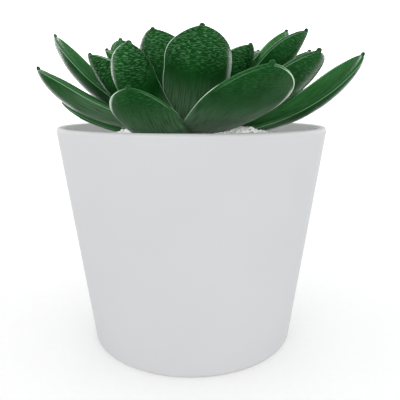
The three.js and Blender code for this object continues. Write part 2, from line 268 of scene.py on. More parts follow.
MIDDLE_LEAVES = [
    dict(turn=-39, length=82, width=33, low=10, high=58, base=-1, sway=-20, curl=1.9, cup=30, roll=6,
         wax=0.62, folds=0.35, left=0.4, painted_sheen=(0.95, 0.5, 0.25, 0.5, 0.97)),
    dict(turn=-86, length=60, width=37, low=33, high=91, base=-1, sway=13, curl=1.4, roll=-8,
         bloom_and_reflection=0.66, left=1.6, painted_sheen=(1, 0.3, 0.75, 0.35, 0.8)),
    dict(turn=-159, length=62, width=30, low=18, high=72, base=-2, sway=-6, curl=1.4, cup=65, roll=12,
         wax=0.62, left=1.9, painted_sheen=(-0.28, 0.4, 0.15, 0.35, 0.95)),
    dict(turn=168, length=92, width=32, low=19, high=77, base=-4.5, sway=2, curl=2, cup=50, roll=4,
         wax=0.62, right=0.8, painted_sheen=(0.3, 0.6, 0.12, 0.5, 0.97)),
    dict(turn=113, length=76, width=34, low=12, high=66, base=-4),
    dict(turn=66, length=78, width=34, low=12, high=66, base=-3),
    dict(turn=19, length=84, width=30, low=14, high=63, base=-4),
]
INNER_LEAVES = [
    dict(turn=-20, length=72, width=37, low=23, high=68, base=1.5, sway=-4, curl=1.5, cup=65, roll=8,
         wax=0.8, folds=0.5, left=0.35),
    dict(turn=-134, length=65, width=26, low=20, high=107, base=-3, sway=30, curl=2.2, cup=80, roll=22,
         wax=0.62, left=2, right=1.35, painted_sheen=(-1, 0.45, 1, 0.35, 0.85)),
    dict(turn=21, length=78, width=25, low=26, high=75, base=-1, sway=2, curl=1.4, cup=65, roll=4),
    dict(turn=68, length=60, width=30, low=26, high=80, base=0),
    dict(turn=108, length=58, width=28, low=36, high=86, base=1),
    dict(turn=143, length=69, width=30, low=21, high=84, base=1, sway=4, cup=45, roll=-11),
    dict(turn=179, length=55, width=23, low=33, high=65, base=1.5, sway=-1, curl=1.4),
]
HEART_LEAVES = [
    dict(turn=-28, length=49, width=32, low=34, high=85, base=2.5, sway=5, cup=65, roll=-8,
         wax=0.62, folds=0.8, right=1.8, painted_sheen=(0.6, 0.5, 0.2, 0.35, 0.95)),
    dict(turn=-129, length=52, width=37, low=40, high=100, base=3, sway=-2, curl=1.4, roll=4,
         wax=0.62, left=1.7, painted_sheen=(-0.95, 0.5, 0.25, 0.35, 0.95)),
    dict(turn=21, length=51, width=22, low=35, high=64, base=4.5, sway=1),
    dict(turn=78, length=44, width=24, low=46, high=88, base=4),
    dict(turn=127, length=44, width=22, low=42, high=88, base=4),
    dict(turn=176, length=42, width=22, low=42, high=84, base=4),
]
CORE_COUNT = 5
GOLDEN_ANGLE = 137.5
CORE_LEAVES = [
    dict(turn=40 + GOLDEN_ANGLE * i, length=34 - 3 * i, width=20 - 2 * i, low=62 + 3 * i, high=96,
         base=7 + 0.8 * i, root=5 - 0.8 * i)
    for i in range(CORE_COUNT)
]
WHORLS = {
    "core": CORE_LEAVES,
    "heart": HEART_LEAVES,
    "inner": INNER_LEAVES,
    "middle": MIDDLE_LEAVES,
    "outer": OUTER_LEAVES,
}


# Meshes

def mesh_object(name, points, faces, smooth=True):
    """A new mesh object. points are in millimetres, in the frame of the CAD model."""
    mesh = bpy.data.meshes.new(name)
    mesh.from_pydata((np.asarray(points) * MM).tolist(), [], faces)
    if smooth:
        mesh.shade_smooth()
    else:
        mesh.shade_flat()
    mesh.validate()
    piece = bpy.data.objects.new(name, mesh)
    bpy.context.scene.collection.objects.link(piece)
    return piece


def grid_faces(rows, around):
    """Quads between rings of points, each ring closed on itself."""
    ring = np.arange(around)
    after = (ring + 1) % around
    start = np.arange(rows - 1)[:, None] * around
    quads = np.stack([start + ring, start + around + ring, start + around + after, start + after], -1)
    return quads.reshape(-1, 4).tolist()


def store_vectors(piece, name, values):
    """A named vector for each vertex, for the materials to read."""
    attribute = piece.data.attributes.new(name, "FLOAT_VECTOR", "POINT")
    attribute.data.foreach_set("vector", np.ascontiguousarray(values, np.float32).ravel())


def smooth_step(x, low, high):
    t = np.clip((x - low) / (high - low), 0, 1)
    return t * t * (3 - 2 * t)


def lattice_noise(u, v, seed):
    """Smooth noise from -1 to 1, with one random value at each whole number of u and v."""
    values = np.random.default_rng(seed).uniform(-1, 1, (257, 257))
    iu = np.floor(u).astype(int)
    iv = np.floor(v).astype(int)
    fu = smooth_step(u - iu, 0, 1)
    fv = smooth_step(v - iv, 0, 1)
    a, b = iu % 256, (iu + 1) % 256
    c, d = iv % 256, (iv + 1) % 256
    near = values[a, c] * (1 - fu) + values[b, c] * fu
    far = values[a, d] * (1 - fu) + values[b, d] * fu
    return near * (1 - fv) + far * fv


# Leaves

def spread(s):
    """Share of a leaf's full half-width at station s, from the root at 0 to the tip at 1."""
    rise = np.sin(np.pi / 2 * np.minimum(s / LEAF_WIDEST, 1)) ** LEAF_WIDEN_POWER
    q = np.clip((s - LEAF_WIDEST) / (LEAF_TIP_AT - LEAF_WIDEST), 0, 1)
    closing = (1 - q ** LEAF_CLOSE_POWER) ** LEAF_CLOSE_ROUND
    return np.where(s < LEAF_WIDEST, LEAF_BASE_WIDTH + (1 - LEAF_BASE_WIDTH) * rise, closing)


def axes(leaf, s):
    """The leaf's direction at each station: along it, across it, and out of its upper face."""
    heading = np.radians(leaf["turn"] + leaf["sway"] * s)
    rise = np.radians(leaf["low"] + (leaf["high"] - leaf["low"]) * s ** leaf["curl"])
    roll = math.radians(leaf["roll"])
    along = np.stack([np.cos(rise) * np.cos(heading), np.cos(rise) * np.sin(heading), np.sin(rise)], -1)
    level = np.stack([-np.sin(heading), np.cos(heading), np.zeros_like(s)], -1)
    upper = np.cross(along, level)
    across = level * math.cos(roll) + upper * math.sin(roll)
    out = upper * math.cos(roll) - level * math.sin(roll)
    return along, across, out


def spine(leaf, s):
    """Points of the line down the middle of the leaf at the stations s."""
    turn = math.radians(leaf["turn"])
    out = leaf["root"]
    root = [PLANT_ASIDE + out * math.cos(turn), out * math.sin(turn), CROWN + leaf["base"]]
    middles = (np.arange(SPINE_STEPS) + 0.5) / SPINE_STEPS
    steps = axes(leaf, middles)[0] * leaf["length"] / SPINE_STEPS
    line = np.vstack([[0, 0, 0], np.cumsum(steps, 0)]) + root
    places = np.linspace(0, 1, SPINE_STEPS + 1)
    return np.stack([np.interp(s, places, line[:, k]) for k in range(3)], -1)


def section(leaf, s):
    """Half-width round the bend, half of the bend's angle, and half-thickness in the middle and at
    the margins, at each station."""
    share = spread(s)
    tip_round = np.sqrt(1 - s ** LEAF_TIP_BLUNTNESS)
    half = np.hypot(leaf["width"] / 2 * share, LEAF_TIP_RADIUS * tip_round)
    bow = math.radians(leaf["cup"]) * (1 + share) / 2
    middle = LEAF_THICKNESS / 2 * (1 - LEAF_THINNING * s * s) * tip_round
    margin = np.minimum(LEAF_MARGIN / 2 * (1 - MARGIN_THINNING * s), middle)
    return half, bow, middle, margin


def leaf_points(leaf, s, t, lift, beyond):
    """Points of the leaf. s runs along it, t across it from -1 to 1, lift is out of its middle
    surface and beyond is past its margin. Also the middle surface's normals at these points."""
    half, bow, _, _ = section(leaf, s)
    _, across, out = axes(leaf, s)
    angle = bow[:, None] * t
    bend = (half / bow)[:, None]
    sideways = (bend - lift) * np.sin(angle) + beyond * np.cos(angle)
    upward = bend - (bend - lift) * np.cos(angle) + beyond * np.sin(angle)
    centre = spine(leaf, s)[:, None]
    points = centre + sideways[..., None] * across[:, None] + upward[..., None] * out[:, None]
    normals = np.cos(angle)[..., None] * out[:, None] - np.sin(angle)[..., None] * across[:, None]
    return points, normals


def crossings(tree, start, way, reach):
    """Distances at which a ray goes into and out of a closed mesh, as (in, out) pairs."""
    found = []
    entered = None
    travelled = 0
    origin = start
    while travelled < reach:
        hit, normal, _, distance = tree.ray_cast(origin, way, reach - travelled)
        if hit is None:
            break
        travelled += distance
        if normal.dot(way) < 0:
            entered = travelled
        else:
            found.append((entered if entered is not None else 0, travelled))
            entered = None
        origin = hit + way * RAY_STEP
        travelled += RAY_STEP
    return found


def press(leaf, placed):
    """How far the leaf has to give way, out of its lower face, to stay clear of the leaves in
    placed, at a grid of stations and places across it."""
    s = np.linspace(0, 0.99, PRESS_STATIONS)
    t = np.linspace(-1, 1, PRESS_ACROSS)
    _, _, middle, margin = section(leaf, s)
    thick = margin[:, None] + (middle - margin)[:, None] * (1 - t * t)
    points, normals = leaf_points(leaf, s, t, np.zeros_like(thick), 0)
    low, high = points.min((0, 1)) - LEAF_THICKNESS, points.max((0, 1)) + LEAF_THICKNESS
    need = np.zeros(thick.shape)
    for tree, other_low, other_high in placed:
        if (low > other_high).any() or (high < other_low).any():
            continue
        for i, j in np.ndindex(thick.shape):
            way = Vector(-normals[i, j])
            start = Vector(points[i, j]) - way * PRESS_REACH
            top, bottom = PRESS_REACH - thick[i, j], PRESS_REACH + thick[i, j]
            for into, out in crossings(tree, start, way, 2 * PRESS_REACH):
                if out < top or into > bottom:
                    continue
                if into + out < 2 * PRESS_REACH:
                    need[i, j] = max(need[i, j], out - top + PRESS_GAP)
                elif need[i, j] <= 0:
                    need[i, j] = min(need[i, j], into - bottom - PRESS_GAP)
    give = need.copy()
    for _ in range(PRESS_ROUNDS):
        padded = np.pad(give, 1, mode="edge")
        blurred = (padded[:-2, 1:-1] + padded[2:, 1:-1] + padded[1:-1, :-2] + padded[1:-1, 2:]) / 4
        give = (give + blurred) / 2
        give = np.where(need > 0, np.maximum(give, need), give)
        give = np.where(need < 0, np.minimum(give, need), give)
    return s, t, give


def pick(grid_s, grid_t, values, s, t):
    """values, given on the grid of grid_s and grid_t, at the stations s and places t."""
    by_t = np.stack([np.interp(t, grid_t, row) for row in values])
    return np.stack([np.interp(s, grid_s, column) for column in by_t.T], -1)


def ring_places(leaf):
    """The places round a leaf's section: t, the share of the margin's lift, the share of the
    middle's lift, and the share of the margin's bulge."""
    count = max(12, round(leaf["width"] / ACROSS_STEP))
    t = np.sin(np.linspace(-1, 1, count) * ACROSS_CROWDING) / math.sin(ACROSS_CROWDING)
    theta = np.linspace(0, np.pi, MARGIN_POINTS + 2)[1:-1]
    power = 2 / MARGIN_SQUARENESS
    lift = np.sign(np.cos(theta)) * np.abs(np.cos(theta)) ** power
    bulge = np.sin(theta) ** power
    ones = np.ones(count)
    zeros = np.zeros(count)
    blank = np.zeros(MARGIN_POINTS)
    edge = np.ones(MARGIN_POINTS)
    return (
        np.concatenate([t, edge, -t, -edge]),
        np.concatenate([ones, lift, -ones, -lift]),
        np.concatenate([ones, blank, -ones, blank]),
        np.concatenate([zeros, bulge, zeros, -bulge]),
    )


def painted_sheen_share(leaf, s, t):
    """Share of the strip of painted white sheen along the leaf."""
    place, width, strength, start, end = leaf["painted_sheen"]
    rising = smooth_step(s, start - PAINTED_SHEEN_RISE, start + PAINTED_SHEEN_RISE)
    falling = smooth_step(s, end + PAINTED_SHEEN_FADE, end - PAINTED_SHEEN_FADE)
    across = np.clip(1 - ((t - place) / width) ** 2, 0, 1) ** 2
    return strength * across * (rising * falling)[:, None]


def line_and_highlight_share(leaf, s, t, upper):
    """Strength of the pale lines at each margin, partly their own pale colour and partly painted
    highlight. Where the leaf has a bright rim, a painted highlight, only the upper half of the
    margin is pale."""
    margin = np.where(t < 0, leaf["left"], leaf["right"])
    base = smooth_step(s, LINE_TIP, LINE_BASE)[:, None]
    share = margin + np.maximum(1 - margin, 0) * base
    side, end = leaf["rim"]
    rimmed = smooth_step(s, end + RIM_FADE, end - RIM_FADE)[:, None] * (t * side > 0)
    share = share * (1 - rimmed) + RIM_HIGHLIGHT_STRENGTH * smooth_step(upper, 0, RIM_FROM) * rimmed
    return share * smooth_step(s, 1, LINE_END)[:, None]


def make_leaf(name, leaf, folds, seed, placed):
    """One fleshy leaf with rounded margins, pressed clear of the leaves in placed. folds is the
    share of the full wrinkling that it has near its tip. The materials read four vectors at each
    vertex: leaf_place is the place along and across the leaf, leaf_edges the distance from the
    margin, the lower face and the tip, leaf_zones the wrinkles, the bloom with its painted
    reflection and the wax, and leaf_sheen_and_lines the strip of painted sheen and the pale lines with
    their painted highlight."""
    rows = round(leaf["length"] / STATION_STEP)
    s = LAST_STATION * (1 - (1 - np.linspace(0, 1, rows)) ** STATION_CROWDING)
    t, on_margin, on_middle, on_bulge = ring_places(leaf)
    half, _, middle, margin = section(leaf, s)
    length = s[:, None] * leaf["length"] + 0 * t
    breadth = half[:, None] * t
    from_tip = (1 - s) * leaf["length"]
    folded = folds * smooth_step(from_tip, FOLDS_END, FOLDS_FULL)[:, None]
    side = LOWER_FACE_SHIFT * (on_margin < 0)
    wander = WANDER * lattice_noise(length / WANDER_SIZE, breadth / WANDER_SIZE + side, seed + 3)
    wrinkles = lattice_noise(length / WRINKLE_ALONG + wander, breadth / WRINKLE_ACROSS + side, seed)
    dimples = lattice_noise(length / DIMPLE_SIZE, breadth / DIMPLE_SIZE + side, seed + 1)
    fade = np.minimum(1, (1 - s) / RELIEF_FADE)[:, None]
    relief = (WRINKLE_HEIGHT * wrinkles * folded + DIMPLE_HEIGHT * dimples) * fade
    lift = on_margin * (margin[:, None] + relief) + on_middle * (middle - margin)[:, None] * (1 - t * t)
    beyond = on_bulge * (margin * MARGIN_BULGE)[:, None]
    points, normals = leaf_points(leaf, s, t, lift, beyond)
    grid_s, grid_t, give = press(leaf, placed)
    points = points - pick(grid_s, grid_t, give, s, t)[..., None] * normals
    around = len(t)
    tip = spine(leaf, np.array([1.0]))
    vertices = np.vstack([points.reshape(-1, 3), tip])
    faces = grid_faces(rows, around)
    last = (rows - 1) * around
    faces += [[last + j, rows * around, last + (j + 1) % around] for j in range(around)]
    faces.append(list(range(around)))
    tree = BVHTree.FromPolygons(vertices.tolist(), faces)
    placed.append((tree, vertices.min(0), vertices.max(0)))
    piece = mesh_object(name, vertices, faces)
    place = np.stack([length, breadth, side + LEAF_SHIFT * seed + 0 * length], -1).reshape(-1, 3)
    round_edge = margin[:, None] * (1 - np.abs(on_bulge)) * (on_bulge != 0)
    inward = margin[:, None] + half[:, None] * (1 - np.abs(t))
    edge = np.where(on_bulge != 0, round_edge, inward)
    lower = (on_margin < 0) + 0.0 * length
    point = leaf["point"] * smooth_step(from_tip, POINT_LENGTH, 0)[:, None] + 0 * length
    edges = np.stack([edge, lower, point], -1).reshape(-1, 3)
    # Grey bloom at the base of the lower face, partly painted reflection.
    bloom_and_reflection = lower * smooth_step(s, leaf["bloom_and_reflection"], leaf["bloom_and_reflection"] - BLOOM_AND_REFLECTION_RISE)[:, None]
    wax = leaf["wax"] + 0 * length
    # The strip of painted white sheen, on the lower face only.
    painted_sheen = painted_sheen_share(leaf, s, t) * lower
    # Strengths of the pale lines, partly painted highlight on the margins that catch the light.
    pale_line_and_highlight = line_and_highlight_share(leaf, s, t, on_margin)
    sheen_and_lines = np.stack([painted_sheen, pale_line_and_highlight, 0 * length], -1).reshape(-1, 3)
    zones = np.stack([folded + 0 * length, bloom_and_reflection, wax], -1).reshape(-1, 3)
    store_vectors(piece, "leaf_place", np.vstack([place, [leaf["length"], 0, LEAF_SHIFT * seed]]))
    store_vectors(piece, "leaf_edges", np.vstack([edges, [0, 0, leaf["point"]]]))
    store_vectors(piece, "leaf_zones", np.vstack([zones, [folds, 0, leaf["wax"]]]))
    store_vectors(piece, "leaf_sheen_and_lines", np.vstack([sheen_and_lines, [0, 1, 0]]))
    return piece


# Pot, gravel and stem

def outer_radius(z):
    return POT_BASE_RADIUS + (POT_TOP_RADIUS - POT_BASE_RADIUS) * z / POT_HEIGHT


def arc(x, z, radius, start, end, count):
    angles = np.radians(np.linspace(start, end, count))
    return [(x + radius * math.cos(a), z + radius * math.sin(a)) for a in angles]


def turned(name, profile, sides, aside=0):
    """A closed body turned round an upright axis. The profile starts and ends on the axis."""
    inner = np.array(profile[1:-1])
    angles = np.arange(sides) * 2 * np.pi / sides
    points = np.stack([
        inner[:, :1] * np.cos(angles),
        inner[:, :1] * np.sin(angles),
        inner[:, 1:] + 0 * angles,
    ], -1).reshape(-1, 3)
    vertices = np.vstack([points, [0, 0, profile[0][1]], [0, 0, profile[-1][1]]])
    faces = [face[::-1] for face in grid_faces(len(inner), sides)]
    first, last = len(vertices) - 2, len(vertices) - 1
    top = (len(inner) - 1) * sides
    for j in range(sides):
        after = (j + 1) % sides
        faces.append([after, j, first])
        faces.append([top + j, top + after, last])
    return mesh_object(name, vertices + [aside, 0, 0], faces)


def make_pot():
    lip = POT_WALL / 2
    lean = math.degrees(math.atan2(POT_TOP_RADIUS - POT_BASE_RADIUS, POT_HEIGHT))
    round_middle = POT_BASE_RADIUS - POT_FOOT_ROUND
    foot = arc(round_middle, POT_FOOT_ROUND, POT_FOOT_ROUND, -90, -lean, POT_FOOT_STEPS)
    top = arc(POT_TOP_RADIUS - lip, POT_HEIGHT - lip, lip, -lean, 180 - lean, POT_LIP_STEPS)
    inside = outer_radius(POT_FLOOR) - POT_WALL
    base_rings = [(r, 0) for r in np.linspace(0, round_middle, POT_BASE_RINGS + 1)[:-1]]
    wall = np.linspace(foot[-1], top[0], POT_WALL_ROWS)[1:-1].tolist()
    floor = [(inside, POT_FLOOR), (0, POT_FLOOR)]
    return turned("pot_glazed", base_rings + foot + wall + top + floor, POT_SIDES)


def gravel_level(radius):
    edge = outer_radius(GRAVEL_EDGE) - POT_WALL
    t = np.clip((radius - GRAVEL_FLAT_RADIUS) / (edge - GRAVEL_FLAT_RADIUS), 0, 1)
    return GRAVEL_CROWN + (GRAVEL_EDGE - GRAVEL_CROWN) * np.sin(t * np.pi / 2) ** GRAVEL_FALL_POWER


ICOSAHEDRON_NEAR = 1.1
ICOSAHEDRON_RATIO = (1 + math.sqrt(5)) / 2
ICOSAHEDRON_POINTS = np.array([
    (a, b * ICOSAHEDRON_RATIO, 0) for a in (-1, 1) for b in (-1, 1)
] + [
    (0, a, b * ICOSAHEDRON_RATIO) for a in (-1, 1) for b in (-1, 1)
] + [
    (b * ICOSAHEDRON_RATIO, 0, a) for a in (-1, 1) for b in (-1, 1)
]) / math.hypot(1, ICOSAHEDRON_RATIO)


def icosahedron_faces():
    """Triples of corners that are all neighbours, in the order that faces outwards."""
    p = ICOSAHEDRON_POINTS
    apart = np.linalg.norm(p[:, None] - p, axis=-1)
    near = apart < ICOSAHEDRON_NEAR
    faces = []
    for a, b, c in itertools.combinations(range(len(p)), 3):
        if near[a, b] and near[b, c] and near[c, a]:
            outwards = np.dot(np.cross(p[b] - p[a], p[c] - p[a]), p[a] + p[b] + p[c]) > 0
            faces.append([a, b, c] if outwards else [a, c, b])
    return np.array(faces)


def grit_places(rng):
    """Centres of the grains: a loose triangular net over the top of the gravel."""
    reach = outer_radius(GRAVEL_EDGE) - POT_WALL - GRIT_RADIUS
    row_step = GRIT_SPACING * math.sqrt(3) / 2
    rows = np.arange(-reach, reach, row_step)
    places = []
    for k, y in enumerate(rows):
        x = np.arange(-reach, reach, GRIT_SPACING) + (k % 2) * GRIT_SPACING / 2
        places.append(np.stack([x, np.full_like(x, y)], -1))
    flat = np.vstack(places)
    flat = flat + rng.uniform(-GRIT_STRAY, GRIT_STRAY, flat.shape) * GRIT_SPACING
    radius = np.hypot(flat[:, 0], flat[:, 1])
    flat = flat[(radius < reach) & (radius > STEM_RADIUS)]
    radius = np.hypot(flat[:, 0], flat[:, 1])
    height = gravel_level(radius) + rng.uniform(GRIT_LOW, GRIT_HIGH, len(flat))
    return np.column_stack([flat, height])


def turns(rng, count):
    """Random rotation matrices."""
    q = rng.normal(size=(count, 4))
    q /= np.linalg.norm(q, axis=1)[:, None]
    w, x, y, z = q.T
    return np.stack([
        np.stack([1 - 2 * (y * y + z * z), 2 * (x * y - z * w), 2 * (x * z + y * w)], -1),
        np.stack([2 * (x * y + z * w), 1 - 2 * (x * x + z * z), 2 * (y * z - x * w)], -1),
        np.stack([2 * (x * z - y * w), 2 * (y * z + x * w), 1 - 2 * (x * x + y * y)], -1),
    ], -2)


def make_gravel():
    """A mound of white grit: angular grains on a closed bed."""
    rng = np.random.default_rng(SEED)
    centres = grit_places(rng)
    count = len(centres)
    each = len(ICOSAHEDRON_POINTS)
    corners = ICOSAHEDRON_POINTS * rng.uniform(*GRIT_JAGGED, (count, each, 1))
    corners = corners * rng.uniform(*GRIT_STRETCH, (count, 1, 3)) * GRIT_RADIUS
    corners = np.einsum("nij,nkj->nki", turns(rng, count), corners) + centres[:, None]
    faces = (icosahedron_faces() + each * np.arange(count)[:, None, None]).reshape(-1, 3).tolist()
    tint = np.repeat(rng.uniform(0, 1, (count, 3)), each, axis=0)
    top_edge = outer_radius(GRAVEL_EDGE) - POT_WALL - BED_GAP
    bottom_edge = outer_radius(GRAVEL_BOTTOM) - POT_WALL - BED_GAP
    radii = np.linspace(STEM_RADIUS + STEM_GAP, top_edge, BED_RINGS)
    rings = np.concatenate([[radii[0]], radii, [bottom_edge]])
    heights = np.concatenate([[GRAVEL_BOTTOM], gravel_level(radii) - GRIT_SINK, [GRAVEL_BOTTOM]])
    angles = np.arange(BED_SIDES) * 2 * np.pi / BED_SIDES
    bed = np.stack([
        rings[:, None] * np.cos(angles),
        rings[:, None] * np.sin(angles),
        heights[:, None] + 0 * angles,
    ], -1).reshape(-1, 3)
    start = each * count
    quads = np.array(grid_faces(len(rings), BED_SIDES))
    first = np.arange(BED_SIDES)
    after = (first + 1) % BED_SIDES
    last = (len(rings) - 1) * BED_SIDES
    underside = np.stack([last + first, last + after, after, first], -1)
    faces += (quads + start).tolist() + (underside + start).tolist()
    piece = mesh_object("gravel_grit", np.vstack([corners.reshape(-1, 3), bed]), faces, smooth=False)
    store_vectors(piece, "grain", np.vstack([tint, np.full((len(bed), 3), BED_TINT)]))
    return piece


def make_stem():
    """The short stem, with the low rings that fallen leaves leave on it."""
    foot = [(0, STEM_BOTTOM), (0.7 * STEM_RADIUS, STEM_BOTTOM)]
    heights = np.linspace(STEM_BOTTOM + 6, STEM_TOP - STEM_RADIUS, 60)
    ring_radius = STEM_RADIUS - 0.05 - STEM_RING_HEIGHT
    rings = STEM_RING_HEIGHT * np.sin(STEM_RING_TURN * heights)
    side = list(zip(ring_radius + rings, heights))
    dome = arc(0, STEM_TOP - STEM_RADIUS, STEM_RADIUS - 0.1, 0, 90, 12)
    return turned("stem_skin", foot + side + dome[1:-1] + [(0, dome[-1][1])], STEM_SIDES, PLANT_ASIDE)


# Materials

def new_material(name):
    material = bpy.data.materials.new(name)
    material.use_nodes = True
    material.node_tree.nodes.clear()
    return material, material.node_tree


def add(tree, kind, inputs=None, **settings):
    """A shader node. inputs are set or, where they are sockets, linked."""
    node = tree.nodes.new("ShaderNode" + kind)
    for key, value in settings.items():
        setattr(node, key, value)
    for key, value in (inputs or {}).items():
        if isinstance(value, bpy.types.NodeSocket):
            tree.links.new(value, node.inputs[key])
        else:
            node.inputs[key].default_value = value
    return node


def math_node(tree, operation, a, b=0.0, clamp=False):
    return add(tree, "Math", {0: a, 1: b}, operation=operation, use_clamp=clamp).outputs[0]


def map_range(tree, value, low, high, to_low=0.0, to_high=1.0):
    ranges = {"Value": value, "From Min": low, "From Max": high, "To Min": to_low, "To Max": to_high}
    return add(tree, "MapRange", ranges, interpolation_type="SMOOTHSTEP").outputs["Result"]


def mix_colour(tree, factor, a, b):
    node = tree.nodes.new("ShaderNodeMix")
    node.data_type = "RGBA"
    for key, value in ((0, factor), (6, a), (7, b)):
        if isinstance(value, bpy.types.NodeSocket):
            tree.links.new(value, node.inputs[key])
        else:
            node.inputs[key].default_value = value
    return node.outputs[2]


def noise(tree, vector, scale, detail=2.0, roughness=0.5, distortion=0.0, stretch=(1, 1, 1)):
    mapped = add(tree, "Mapping", {"Vector": vector, "Scale": stretch}).outputs["Vector"]
    return add(tree, "TexNoise", {
        "Vector": mapped,
        "Scale": scale,
        "Detail": detail,
        "Roughness": roughness,
        "Distortion": distortion,
    }).outputs["Fac"]


def shader(tree, inputs):
    principled = add(tree, "BsdfPrincipled", inputs)
    add(tree, "OutputMaterial", {"Surface": principled.outputs[0]})


def bump(tree, height, distance, strength=1.0):
    relief = {"Height": height, "Distance": distance, "Strength": strength}
    return add(tree, "Bump", relief).outputs["Normal"]


def leaf_material():
    """Waxy dark green skin: cross wrinkles towards the tip, their crests painted paler as painted
    highlight, grey bloom with fine lines at the base, partly its own colour and partly painted
    reflection of light thrown up from the grit and pot, a strip of painted white sheen on some
    leaves, a paler margin between two pale lines, partly their own colour and partly painted
    highlight, and a darker tip. Its noise runs in the leaf's own millimetres. The wax only mirrors
    where the skin is seen at a flat angle."""
    material, tree = new_material("leaf_skin")
    place = add(tree, "Attribute", attribute_name="leaf_place").outputs["Vector"]
    edges = add(tree, "Attribute", attribute_name="leaf_edges").outputs["Vector"]
    from_edge, lower, point = add(tree, "SeparateXYZ", {0: edges}).outputs
    zones = add(tree, "Attribute", attribute_name="leaf_zones").outputs["Vector"]
    folded, bloom_and_reflection, wax = add(tree, "SeparateXYZ", {0: zones}).outputs
    wrinkles = noise(tree, place, 1.0, 1.0, 0.5, 0.3, (2.8, 0.45, 1))
    grain = noise(tree, place, 1.0, 2, 0.6, 0.3, (2.4, 1.7, 1))
    lines = noise(tree, place, 1.0, 2, 0.5, 0.2, (0.10, 1.7, 1))
    blotches = noise(tree, place, 1.0, 2, 0.5, 0.0, (0.07, 0.10, 1))
    fold_height = math_node(tree, "MULTIPLY", wrinkles, math_node(tree, "ADD", folded, 0.1))
    line_height = math_node(tree, "MULTIPLY", math_node(tree, "MULTIPLY", lines, bloom_and_reflection), 0.3)
    grain_height = math_node(tree, "MULTIPLY", grain, 0.25)
    height = math_node(tree, "ADD", math_node(tree, "ADD", fold_height, line_height), grain_height)
    normal = bump(tree, height, 0.0003, 1.0)
    outer = mix_colour(tree, map_range(tree, blotches, 0.3, 0.7), LEAF_DARK, LEAF_FRESH)
    inner = mix_colour(tree, map_range(tree, blotches, 0.3, 0.7), LEAF_INNER_DARK, LEAF_INNER_FRESH)
    inner = mix_colour(tree, map_range(tree, lines, 0.45, 0.65, 0.0, 0.4), inner, LEAF_INNER_STREAK)
    skin = mix_colour(tree, lower, inner, outer)
    # Painted highlight on the crests of the wrinkles.
    crest_highlight = math_node(tree, "MULTIPLY", map_range(tree, wrinkles, 0.52, 0.6, 0.0, 0.85), folded)
    skin = mix_colour(tree, crest_highlight, skin, LEAF_CREST_HIGHLIGHT)
    # Grey bloom at the base, partly painted reflection of light from below.
    bloom_and_reflection_streaks = math_node(tree, "MULTIPLY", bloom_and_reflection, map_range(tree, lines, 0.35, 0.6, 0.35, 0.9))
    skin = mix_colour(tree, bloom_and_reflection_streaks, skin, LEAF_BLOOM_AND_REFLECTION)
    sheen_and_lines = add(tree, "Attribute", attribute_name="leaf_sheen_and_lines").outputs["Vector"]
    painted_sheen, pale_line_and_highlight, _ = add(tree, "SeparateXYZ", {0: sheen_and_lines}).outputs
    # Painted sheen: the white strip along the lower face.
    speckled = map_range(tree, grain, 0.4, 0.6, 0.5, 1.4)
    skin = mix_colour(tree, math_node(tree, "MULTIPLY", painted_sheen, speckled, True), skin, LEAF_PAINTED_SHEEN)
    # Paler band and pale lines at the margins, partly own colour and partly painted highlight.
    band = map_range(tree, from_edge, BAND_FULL, BAND_END, 0.8, 0.0)
    skin = mix_colour(tree, math_node(tree, "MULTIPLY", band, pale_line_and_highlight, True), skin, LEAF_BAND)
    from_line = math_node(tree, "ABSOLUTE", math_node(tree, "SUBTRACT", from_edge, LINE_MIDDLE))
    line = map_range(tree, from_line, LINE_CORE, LINE_SOFT, 0.8, 0.0)
    skin = mix_colour(tree, math_node(tree, "MULTIPLY", line, pale_line_and_highlight, True), skin, LEAF_LINE)
    # Painted highlight: past full strength the band turns nearly white.
    line_highlight = math_node(tree, "MULTIPLY", band, math_node(tree, "SUBTRACT", pale_line_and_highlight, 1.0), True)
    skin = mix_colour(tree, line_highlight, skin, LEAF_LINE_HIGHLIGHT)
    skin = mix_colour(tree, math_node(tree, "MULTIPLY", point, 0.8), skin, LEAF_POINT)
    facing = add(tree, "LayerWeight", {"Blend": 0.5, "Normal": normal}).outputs["Facing"]
    shader(tree, {
        "Base Color": skin,
        "Roughness": map_range(tree, grain, 0.3, 0.7, 0.30, 0.40),
        "Specular IOR Level": 0.03,
        "Coat Weight": map_range(tree, math_node(tree, "SUBTRACT", facing, wax), 0, WAX_RISE),
        "Coat Roughness": 0.12,
        "Coat IOR": 2.0,
        "Coat Normal": normal,
        "Normal": normal,
    })
    return material


